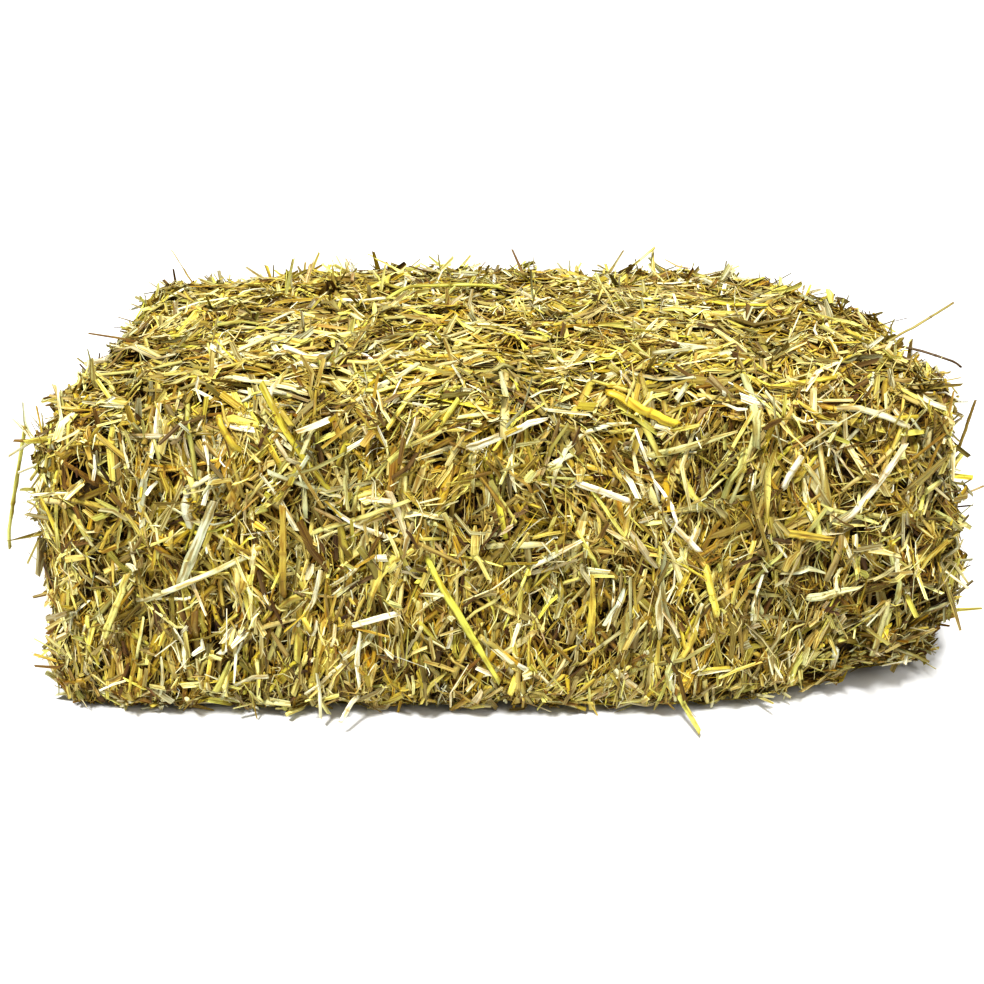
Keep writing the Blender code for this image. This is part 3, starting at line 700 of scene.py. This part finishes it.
def shaded_mat_finish():
    """A dark brown mat of fine fibres, painted dark as shade under the straws, paler where one lies on top
    and darker in clumps.
    """
    material, surface, start = new_finish("shaded_matted_chaff", Sheen_Weight=0.1, Specular_IOR_Level=0.25)
    place = start.node("ShaderNodeTexCoord", output="Object")
    drawn = start.node("ShaderNodeVectorMath", {"operation": "MULTIPLY"}, {0: place, 1: MATTED_RUN})
    tangled = {"Vector": drawn, "Scale": 900.0, "Detail": 4.0, "Distortion": 1.2}
    fibres = start.node("ShaderNodeTexNoise", {}, tangled)
    clumps = start.node("ShaderNodeTexNoise", {}, {"Vector": place, "Scale": 160.0, "Detail": 4.0})
    bright = start.node("ShaderNodeValToRGB", {"stops": ((0.42, 0.0), (0.7, 1.0))}, {0: fibres})
    mat = start.node("ShaderNodeMix", {"data_type": "RGBA"}, {0: bright, 6: SHADED_DUST, 7: SHADED_CHIP}, 2)
    mat.mixed(clumps * CLUMP_SHARE, SHADED_DARK_CLUMP).feed(surface, "Base Color")
    rough = 0.75 + 0.2 * fibres
    rough.feed(surface, "Roughness")
    raised = {"Strength": 0.8, "Distance": HEART_LUMPS, "Height": fibres + clumps}
    start.node("ShaderNodeBump", {}, raised).feed(surface, "Normal")
    return material


finishes["heart"] = shaded_mat_finish()


def heart_of(number):
    """The heart's corners and triangles: the flake drawn in from the skin, its cut faces left in place."""
    corners, triangles = joined_shell(FLAKES[number])
    ends = np.sort(np.concatenate([triangles[:, pair] for pair in ((0, 1), (1, 2), (2, 0))]), axis=1)
    edges, edge = np.unique(ends, axis=0, return_inverse=True)
    edge = edge.reshape(3, -1).T + len(corners)
    corners = np.concatenate([corners, corners[edges].mean(1)])
    a, b, c = triangles.T
    ab, bc, ca = edge.T
    split = (a, ab, ca), (ab, b, bc), (ca, bc, c), (ab, bc, ca)
    triangles = np.concatenate([np.stack(three, 1) for three in split])
    depth = HEART_DEPTH + HEART_LUMPS * drift(corners, HEART_LUMP_SIZE, 41) + sunk(corners)
    depth = depth + HOLE_DEPTH * in_a_hole(corners, HOLE_SPREAD)
    low, high = corners[:, 0].min(), corners[:, 0].max()
    cut = np.zeros(len(corners), bool)
    if number > 0:
        cut |= corners[:, 0] < low + CUT_FACE_REACH
    if number < len(FLAKES) - 1:
        cut |= corners[:, 0] > high - CUT_FACE_REACH
    inwards = -outwards(corners) * depth[:, None]
    inwards[cut, 0] = 0
    return corners + inwards, triangles


# Each flake, joined. All the straws that start on a flake, and its heart, are one piece, laid out
# on its bake map with a cell of its own for every straw.
CELL_RIM = 0.06
# The cut ends of a closed straw are drawn in the room left at the top and the bottom of its cell.
CAP_ROOM, CAP_FILLED = 0.09, 0.9
CAP_ROUND = (0.44, 0.45)
CAP_STREAKS = 2 * MM
WIDTHS_ROUND = 2


def cells(count, aspect, low, high):
    """The corner of each of count cells in a band of the map from low to high, and the cells' size."""
    columns = max(1, round(math.sqrt(count / (high - low) / aspect)))
    rows = math.ceil(count / columns)
    size = np.array((1 / columns, (high - low) / rows))
    index = np.arange(count)
    return np.stack([index % columns, index // columns], 1) * size + (0, low), size


def corners_round(left, right, lower, upper):
    """The four corners of each face on a map, in the order that they have round the face."""
    pairs = (left, lower), (right, lower), (right, upper), (left, upper)
    return np.stack([np.stack(pair, -1) for pair in pairs], -2)


def bundle_mesh(bundle, chosen, low, high, first):
    """The points, faces, maps and tints of a bundle's chosen straws, with its cells in a band of the map."""
    rings = bundle.rings[chosen]
    count, along, sides, _ = rings.shape
    spans = sides if bundle.closed else sides - 1
    corner = np.arange(count * along * sides).reshape(count, along, sides) + first
    near = np.arange(spans)
    far = (near + 1) % sides
    start_ring, end_ring = corner[:, :-1], corner[:, 1:]
    quads = np.stack(
        [start_ring[:, :, near], start_ring[:, :, far], end_ring[:, :, far], end_ring[:, :, near]], -1
    )
    corners_at, size = cells(count, bundle.cell[0] / bundle.cell[1], low, high)
    room = CAP_ROOM if bundle.closed else CELL_RIM
    u = CELL_RIM + (1 - 2 * CELL_RIM) * np.arange(spans + 1) / spans
    v = room + (1 - 2 * room) * np.arange(along) / (along - 1)
    left, right = np.broadcast_to(u[:-1], (along - 1, spans)), np.broadcast_to(u[1:], (along - 1, spans))
    lower = np.broadcast_to(v[:-1, None], (along - 1, spans))
    upper = np.broadcast_to(v[1:, None], (along - 1, spans))
    bake = corners_at[:, None, None, None] + corners_round(left, right, lower, upper) * size
    start, width = bundle.start[chosen], bundle.across[chosen]
    reach = bundle.along[chosen]
    u_run = start[:, None] + width[:, None] * WIDTHS_ROUND * np.arange(spans + 1) / spans
    shape = (count, along - 1, spans)
    left, right = (np.broadcast_to(x[:, None], shape) for x in (u_run[:, :-1], u_run[:, 1:]))
    lower, upper = (np.broadcast_to(x[:, :, None], shape) for x in (reach[:, :-1], reach[:, 1:]))
    run = corners_round(left, right, lower, upper)
    loops, sizes = [quads.reshape(-1)], [np.full(quads.size // 4, 4)]
    bakes, runs = [bake.reshape(-1, 2)], [run.reshape(-1, 2)]
    if bundle.closed:
        turn = 2 * math.pi * np.arange(sides) / sides
        rim = np.stack([0.5 + CAP_ROUND[0] * np.cos(turn), CAP_ROUND[1] * np.sin(turn)], 1)
        first_cap, last_cap = (0, slice(None, None, -1), CAP_ROOM / 2), (-1, slice(None), 1 - CAP_ROOM / 2)
        for end, order, middle in (first_cap, last_cap):
            loops.append(corner[:, end, order].reshape(-1))
            sizes.append(np.full(count, sides))
            spot = np.stack([rim[:, 0], middle + rim[:, 1] * CAP_ROOM * CAP_FILLED], 1)[order]
            bakes.append((corners_at[:, None] + spot * size).reshape(-1, 2))
            here = np.stack([start, reach[:, end]], 1)[:, None]
            runs.append((here + rim[order] * CAP_STREAKS).reshape(-1, 2))
    tint = bundle.tint[chosen]
    return {
        "corners": rings.reshape(-1, 3),
        "loops": np.concatenate(loops),
        "sizes": np.concatenate(sizes),
        "bake": np.concatenate(bakes),
        "run": np.concatenate(runs),
        "tint": tint.reshape(-1, 3),
        "smooth": np.repeat([bundle.finish == "stem", False], [len(sizes[0]), sum(map(len, sizes[1:]))]),
    }


HEART_SIDES = 6
HEART_RIM = 0.03
HEART_TINT = 0.2


def heart_mesh(number, low, high, first):
    """The heart of a flake, each side of it drawn flat in its own cell of the map."""
    corners, triangles = heart_of(number)
    normals = unit(facing(corners, triangles))
    axis = np.abs(normals).argmax(1)
    side = axis * 2 + (normals[np.arange(len(axis)), axis] > 0)
    span = np.ptp(corners, axis=0)
    places = (corners - corners.min(0)) / span
    bake = np.empty((len(triangles), 3, 2))
    for one in range(HEART_SIDES):
        chosen = side == one
        kept = [way for way in range(3) if way != one // 2]
        spot = places[triangles[chosen]][:, :, kept]
        spot = spot * (1 - 2 * HEART_RIM) + HEART_RIM
        bake[chosen] = (spot + (one, 0)) * (1 / HEART_SIDES, high - low) + (0, low)
    run = corners[triangles][:, :, 1:]
    count = len(triangles)
    return {
        "corners": corners,
        "loops": triangles.reshape(-1) + first,
        "sizes": np.full(count, 3),
        "bake": bake.reshape(-1, 2),
        "run": run.reshape(-1, 2),
        "tint": np.full((len(corners), 3), HEART_TINT),
        "smooth": np.ones(count, bool),
    }


def mesh_from(name, parts, materials):
    """One mesh of all the parts, each with its material."""
    mesh = bpy.data.meshes.new(name)
    corners = np.concatenate([part["corners"] for part in parts])
    loops = np.concatenate([part["loops"] for part in parts])
    sizes = np.concatenate([part["sizes"] for part in parts])
    mesh.vertices.add(len(corners))
    mesh.vertices.foreach_set("co", corners.astype(np.float32).ravel())
    mesh.loops.add(len(loops))
    mesh.loops.foreach_set("vertex_index", loops.astype(np.int32))
    mesh.polygons.add(len(sizes))
    mesh.polygons.foreach_set("loop_start", (np.cumsum(sizes) - sizes).astype(np.int32))
    wears = np.repeat(np.arange(len(parts)), [len(part["sizes"]) for part in parts])
    used = []
    for material in materials:
        if material not in used:
            used.append(material)
            mesh.materials.append(material)
    index = np.array([used.index(material) for material in materials])
    mesh.polygons.foreach_set("material_index", index[wears].astype(np.int32))
    mesh.update(calc_edges=True)
    mesh.polygons.foreach_set("use_smooth", np.concatenate([part["smooth"] for part in parts]))
    for layer, title in (("run", "run"), ("bake", "OFBake")):
        places = mesh.uv_layers.new(name=title, do_init=False)
        found = np.concatenate([part[layer] for part in parts])
        places.uv.foreach_set("vector", found.astype(np.float32).ravel())
    tint = mesh.attributes.new("tint", "FLOAT_COLOR", "POINT")
    colours = np.concatenate([part["tint"] for part in parts])
    tint.data.foreach_set("color", np.insert(colours, 3, 1, axis=1).astype(np.float32).ravel())
    mesh.uv_layers.active = mesh.uv_layers["run"]
    return mesh


HEART_BAND = 0.06
for number, name in enumerate(FLAKES):
    chosen = [bundle.flakes == number for bundle in bundles]
    area = np.array([pick.sum() * bundle.cell[0] * bundle.cell[1] for pick, bundle in zip(chosen, bundles)])
    edges = HEART_BAND + (1 - HEART_BAND) * np.concatenate([[0], np.cumsum(area) / area.sum()])
    parts, materials, first = [heart_mesh(number, 0, HEART_BAND, 0)], [finishes["heart"]], 0
    for bundle, pick, low, high in zip(bundles, chosen, edges, edges[1:]):
        first += len(parts[-1]["corners"])
        parts.append(bundle_mesh(bundle, pick, low, high, first))
        materials.append(finishes[bundle.finish])
    piece = bpy.data.objects.new(f"straw_of_{name}", mesh_from(f"straw_of_{name}", parts, materials))
    bpy.context.scene.collection.objects.link(piece)
    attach(piece, "root")
    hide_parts(name)


# The loose straws. Long stems, stalks, leaves and husks that no flake holds lie on the skin or stand
# out past it, each one whole. Stems are hollow, with a joint, and leaves are folded along the rib.
LOOSE_RINGS = 17
LOOSE_SIDES = 10
WALL = 0.7
BORE_DEPTH = 2.5 * MM
LIFT = 1.8 * MM
LEAF_SECTION = np.array((
    (1, -0.2), (0.95, 0.2), (0.45, 0.95), (0, 0.35), (-0.5, 0.8),
    (-0.95, 0.2), (-1, -0.2), (-0.5, 0.2), (0, -0.3), (0.45, 0.3),
))
LOOSE_COLOURS = {
    "lemon_straw": "lemon", "golden_straw": "golden", "pale_straw": "pale",
    "olive_straw": "olive", "tan_straw": "tan", "dark_straw": "brown",
}
# Places along a straw are shares of its length, and its swellings and dents are shares of its width.
JOINT_SPAN, JOINT_REACH, JOINT_WIDTH, JOINT_SWELL = (0.3, 0.7), 0.025, 0.02, 0.16
JOINT_DARKER = np.array((0.35, 0.45, 0.6))
STRAIGHTENED = 0.6
ROOT_END = 0.12
LEAF_TIP, LEAF_TIP_WIDTH, LEAF_THICKNESS = 0.06, ((0.5, 0.9), (0.3, 0.9)), (0.8 * MM, 2.2 * MM)
LUMPS, DENTED = 0.035, 0.025
END_STAIN_REACH, END_STAIN, END_DARKER = 0.05, 0.4, np.array((0.6, 0.8, 1))
# Painted shade inside the bore of a hollow stem: its deep ring is tinted this much darker.
PAINTED_BORE_SHADE = 0.25
WOBBLE, CUT_SLANT = 0.03, (0.2, 0.9)
# A solid's section this much wider than it is deep shows which way is its side.
CLEARLY_WIDER = 1.5
SAME_WAY, SAME_PLANE = 0.999, 0.002 * MM


def corner_rings(name):
    """The rings of five or six corners along a loose straw, from one cap to the other."""
    corners, triangles = joined_shell(name)
    normals = unit(facing(corners, triangles))
    beside = [set() for _ in corners]
    for a, b, c in triangles.tolist():
        beside[a] |= {b, c}
        beside[b] |= {a, c}
        beside[c] |= {a, b}
    for first, normal in zip(triangles[:, 0], normals):
        apart = np.abs((corners[triangles] - corners[first]) @ normal).max(1)
        cap = set(triangles[(normals @ normal > SAME_WAY) & (apart < SAME_PLANE)].ravel().tolist())
        rings, seen = [], set()
        while len(cap) in (5, 6):
            rings.append(corners[sorted(cap)])
            seen |= cap
            cap = {other for corner in cap for other in beside[corner]} - seen
        if len(seen) == len(corners):
            return rings
    raise ValueError(name)


def eased(values, steps):
    """Values at steps along a smooth curve through the given ones."""
    padded = np.concatenate([2 * values[:1] - values[1:2], values, 2 * values[-1:] - values[-2:-1]])
    start = np.clip(np.floor(steps).astype(int), 0, len(values) - 2)
    t = (steps - start).reshape(-1, *[1] * (values.ndim - 1))
    a, b, c, d = (padded[start + shift] for shift in range(4))
    return b + t / 2 * (c - a + t * (2 * a - 5 * b + 4 * c - d + t * (3 * (b - c) + d - a)))


for number, name in enumerate(sorted(set(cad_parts) - set(FLAKES))):
    chance = np.random.default_rng(300 + number)
    rings = corner_rings(name)
    # A hollow solid has two more rings at each end, round its bore.
    rings = rings[2:-2] if len(rings) > 6 else rings
    middle = np.array([ring.mean(0) for ring in rings])
    along = unit(np.gradient(middle, axis=0))
    sides, widths, depths = [], [], []
    for ring, centre, way in zip(rings, middle, along):
        spread_out, axes = np.linalg.svd(ring - centre)[1:]
        side = axes[0]
        if sides:
            if spread_out[0] < CLEARLY_WIDER * spread_out[1]:
                side = sides[-1]
            side = side * (1 if side @ sides[-1] > 0 else -1)
        side = unit(side - way * (side @ way))
        sides.append(side)
        widths.append(np.ptp((ring - centre) @ side))
        depths.append(np.ptp((ring - centre) @ np.cross(side, way)))
    leafy = any(word in name for word in ("leaf", "husk", "split"))
    joint = chance.uniform(*JOINT_SPAN)
    steps = np.linspace(0, 1, LOOSE_RINGS - 3)
    if not leafy:
        steps = np.sort(np.concatenate([steps, joint + np.array((-JOINT_REACH, 0, JOINT_REACH))]))
    spots = steps * (len(rings) - 1)
    line, faces = eased(middle, spots), np.cross(eased(np.array(sides), spots), eased(along, spots))
    if not name.startswith(("bent", "curved")):
        straight = line[0] + (line[-1] - line[0]) * steps[:, None]
        line = line * (1 - STRAIGHTENED) + straight * STRAIGHTENED
    outside = on_skin(line)[1]
    if (faces * outside).sum() < 0:
        faces = -faces
    line = line + outside * LIFT * np.interp(steps, (0, ROOT_END, 1), (0, 1, 1))[:, None]
    width, depth = eased(np.array(widths), spots), eased(np.array(depths), spots)
    lumpy = np.exp(chance.normal(0, LUMPS, len(steps)))
    at_joint = np.exp(-((steps - joint) / JOINT_WIDTH) ** 2)
    if leafy:
        first, last = (chance.uniform(*span) for span in LEAF_TIP_WIDTH)
        lumpy = lumpy * np.interp(steps, (0, LEAF_TIP, 1 - LEAF_TIP, 1), (first, 1, 1, last))
        section, depth = LEAF_SECTION, np.clip(depth, *LEAF_THICKNESS)
    else:
        lumpy = lumpy * (1 + JOINT_SWELL * at_joint)
        section = round_section(LOOSE_SIDES)
    width, depth = (width * lumpy)[None], (depth * lumpy)[None]
    roll = chance.normal(0, WOBBLE, (1, len(steps))).cumsum(1)
    slant = chance.uniform(*CUT_SLANT, (2, 1, 1, 1)) * chance.choice((-1, 1), (2, 1, 1, 1))
    whole = section_rings(line[None], faces[None], width, depth, roll, section, slant)
    whole = whole + chance.normal(0, DENTED, whole.shape) * width[..., None, None]
    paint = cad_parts[name].data.materials[0].name.split(".")[0]
    colour = "white" if "white" in name else LOOSE_COLOURS[paint]
    tint = tints({colour: 1}, line[:1], len(steps), len(section), chance, uneven=0.05)
    if not leafy:
        tint = tint * (1 - at_joint[:, None, None] * JOINT_DARKER)
    stained = (0, END_STAIN_REACH, 1 - END_STAIN_REACH, 1), (END_STAIN, 0, 0, END_STAIN)
    tint = tint * (1 - np.interp(steps, *stained)[:, None, None] * END_DARKER)
    if not leafy:
        centre = whole.mean(2, keepdims=True)
        rims = centre + (whole - centre) * WALL
        inwards = unit(np.stack([line[1] - line[0], line[-2] - line[-1]])) * BORE_DEPTH
        left, right = rims[:, :1], rims[:, -1:]
        whole = np.concatenate([left + inwards[0], left, whole, right, right + inwards[1]], 1)
        # Painted shade: the deep rings inside the bore are tinted darker than the rims.
        left, right = tint[:, :1], tint[:, -1:]
        tint = np.concatenate([left * PAINTED_BORE_SHADE, left, tint, right, right * PAINTED_BORE_SHADE], 1)
    kind = "blade" if leafy else "stem"
    bundle = Bundle(whole, width, True, np.zeros(1, int), tint, kind, (1, 1), chance)
    mesh = mesh_from(f"{name}_straw", [bundle_mesh(bundle, np.array([True]), 0, 1, 0)], [finishes[kind]])
    piece = bpy.data.objects.new(f"{name}_straw", mesh)
    bpy.context.scene.collection.objects.link(piece)
    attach(piece, "root")
    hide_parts(name)


# Floor, lights and camera. A white table top stands in a white room, under a soft key lamp, high at
# the front left, and a wider, weaker fill lamp at the right.
FLOOR_REACH = 6.0
FLOOR_GREY = (0.7, 0.7, 0.7, 1)
floor_mesh = bpy.data.meshes.new("table_top")
floor_corners = [(x * FLOOR_REACH, y * FLOOR_REACH, 0) for x, y in ((-1, -1), (1, -1), (1, 1), (-1, 1))]
floor_mesh.from_pydata(floor_corners, [], [(0, 1, 2, 3)])
floor = bpy.data.objects.new("table_top", floor_mesh)
bpy.context.scene.collection.objects.link(floor)
floor_mesh.materials.append(new_finish("white_table_top", Base_Color=FLOOR_GREY, Roughness=0.8)[0])

ROOM_LIGHT = 0.25
WHITE = (1, 1, 1, 1)
world = bpy.data.worlds.new("white_room")
bpy.context.scene.world = world
world.use_nodes = True
world.node_tree.nodes.remove(world.node_tree.nodes["Background"])
air = Fibre(world.node_tree)
room = air.node("ShaderNodeBackground", {}, {"Color": WHITE, "Strength": ROOM_LIGHT})
backdrop = air.node("ShaderNodeBackground", {}, {"Color": WHITE, "Strength": 1.0})
either = air.node("ShaderNodeMixShader", {}, {0: air.node("ShaderNodeLightPath"), 1: room, 2: backdrop})
either.feed(world.node_tree.nodes["World Output"], "Surface")


def lamp(name, turn, height, spread, power):
    """A wide soft lamp far off, turn degrees to the right of the front and height degrees up."""
    light = bpy.data.lights.new(name, "SUN")
    light.angle, light.energy = math.radians(spread), power
    holder = bpy.data.objects.new(name, light)
    bpy.context.scene.collection.objects.link(holder)
    holder.rotation_euler = (math.radians(90 - height), 0, math.radians(turn))


lamp("key_lamp", -28, 65, 10, 4.55)
lamp("fill_lamp", 65, 42, 40, 1.45)

CAMERA_DISTANCE = 0.607
CAMERA_HEIGHT = 0.367
CAMERA_TURN = math.radians(0.1)
CAMERA_PITCH = math.radians(25.86)
CAMERA_SIDE = -0.0127
LENS_MM = 34.68
camera = bpy.data.objects.new("camera", bpy.data.cameras.new("camera"))
bpy.context.scene.collection.objects.link(camera)
camera.data.lens = LENS_MM
camera.location = (
    CAMERA_DISTANCE * math.sin(CAMERA_TURN) + CAMERA_SIDE * math.cos(CAMERA_TURN),
    -CAMERA_DISTANCE * math.cos(CAMERA_TURN) + CAMERA_SIDE * math.sin(CAMERA_TURN),
    CAMERA_HEIGHT,
)
camera.rotation_euler = (math.pi / 2 - CAMERA_PITCH, 0, CAMERA_TURN)
bpy.context.scene.camera = camera
bpy.context.scene.view_settings.view_transform = "Standard"
bpy.context.scene.view_settings.look = "Medium High Contrast"
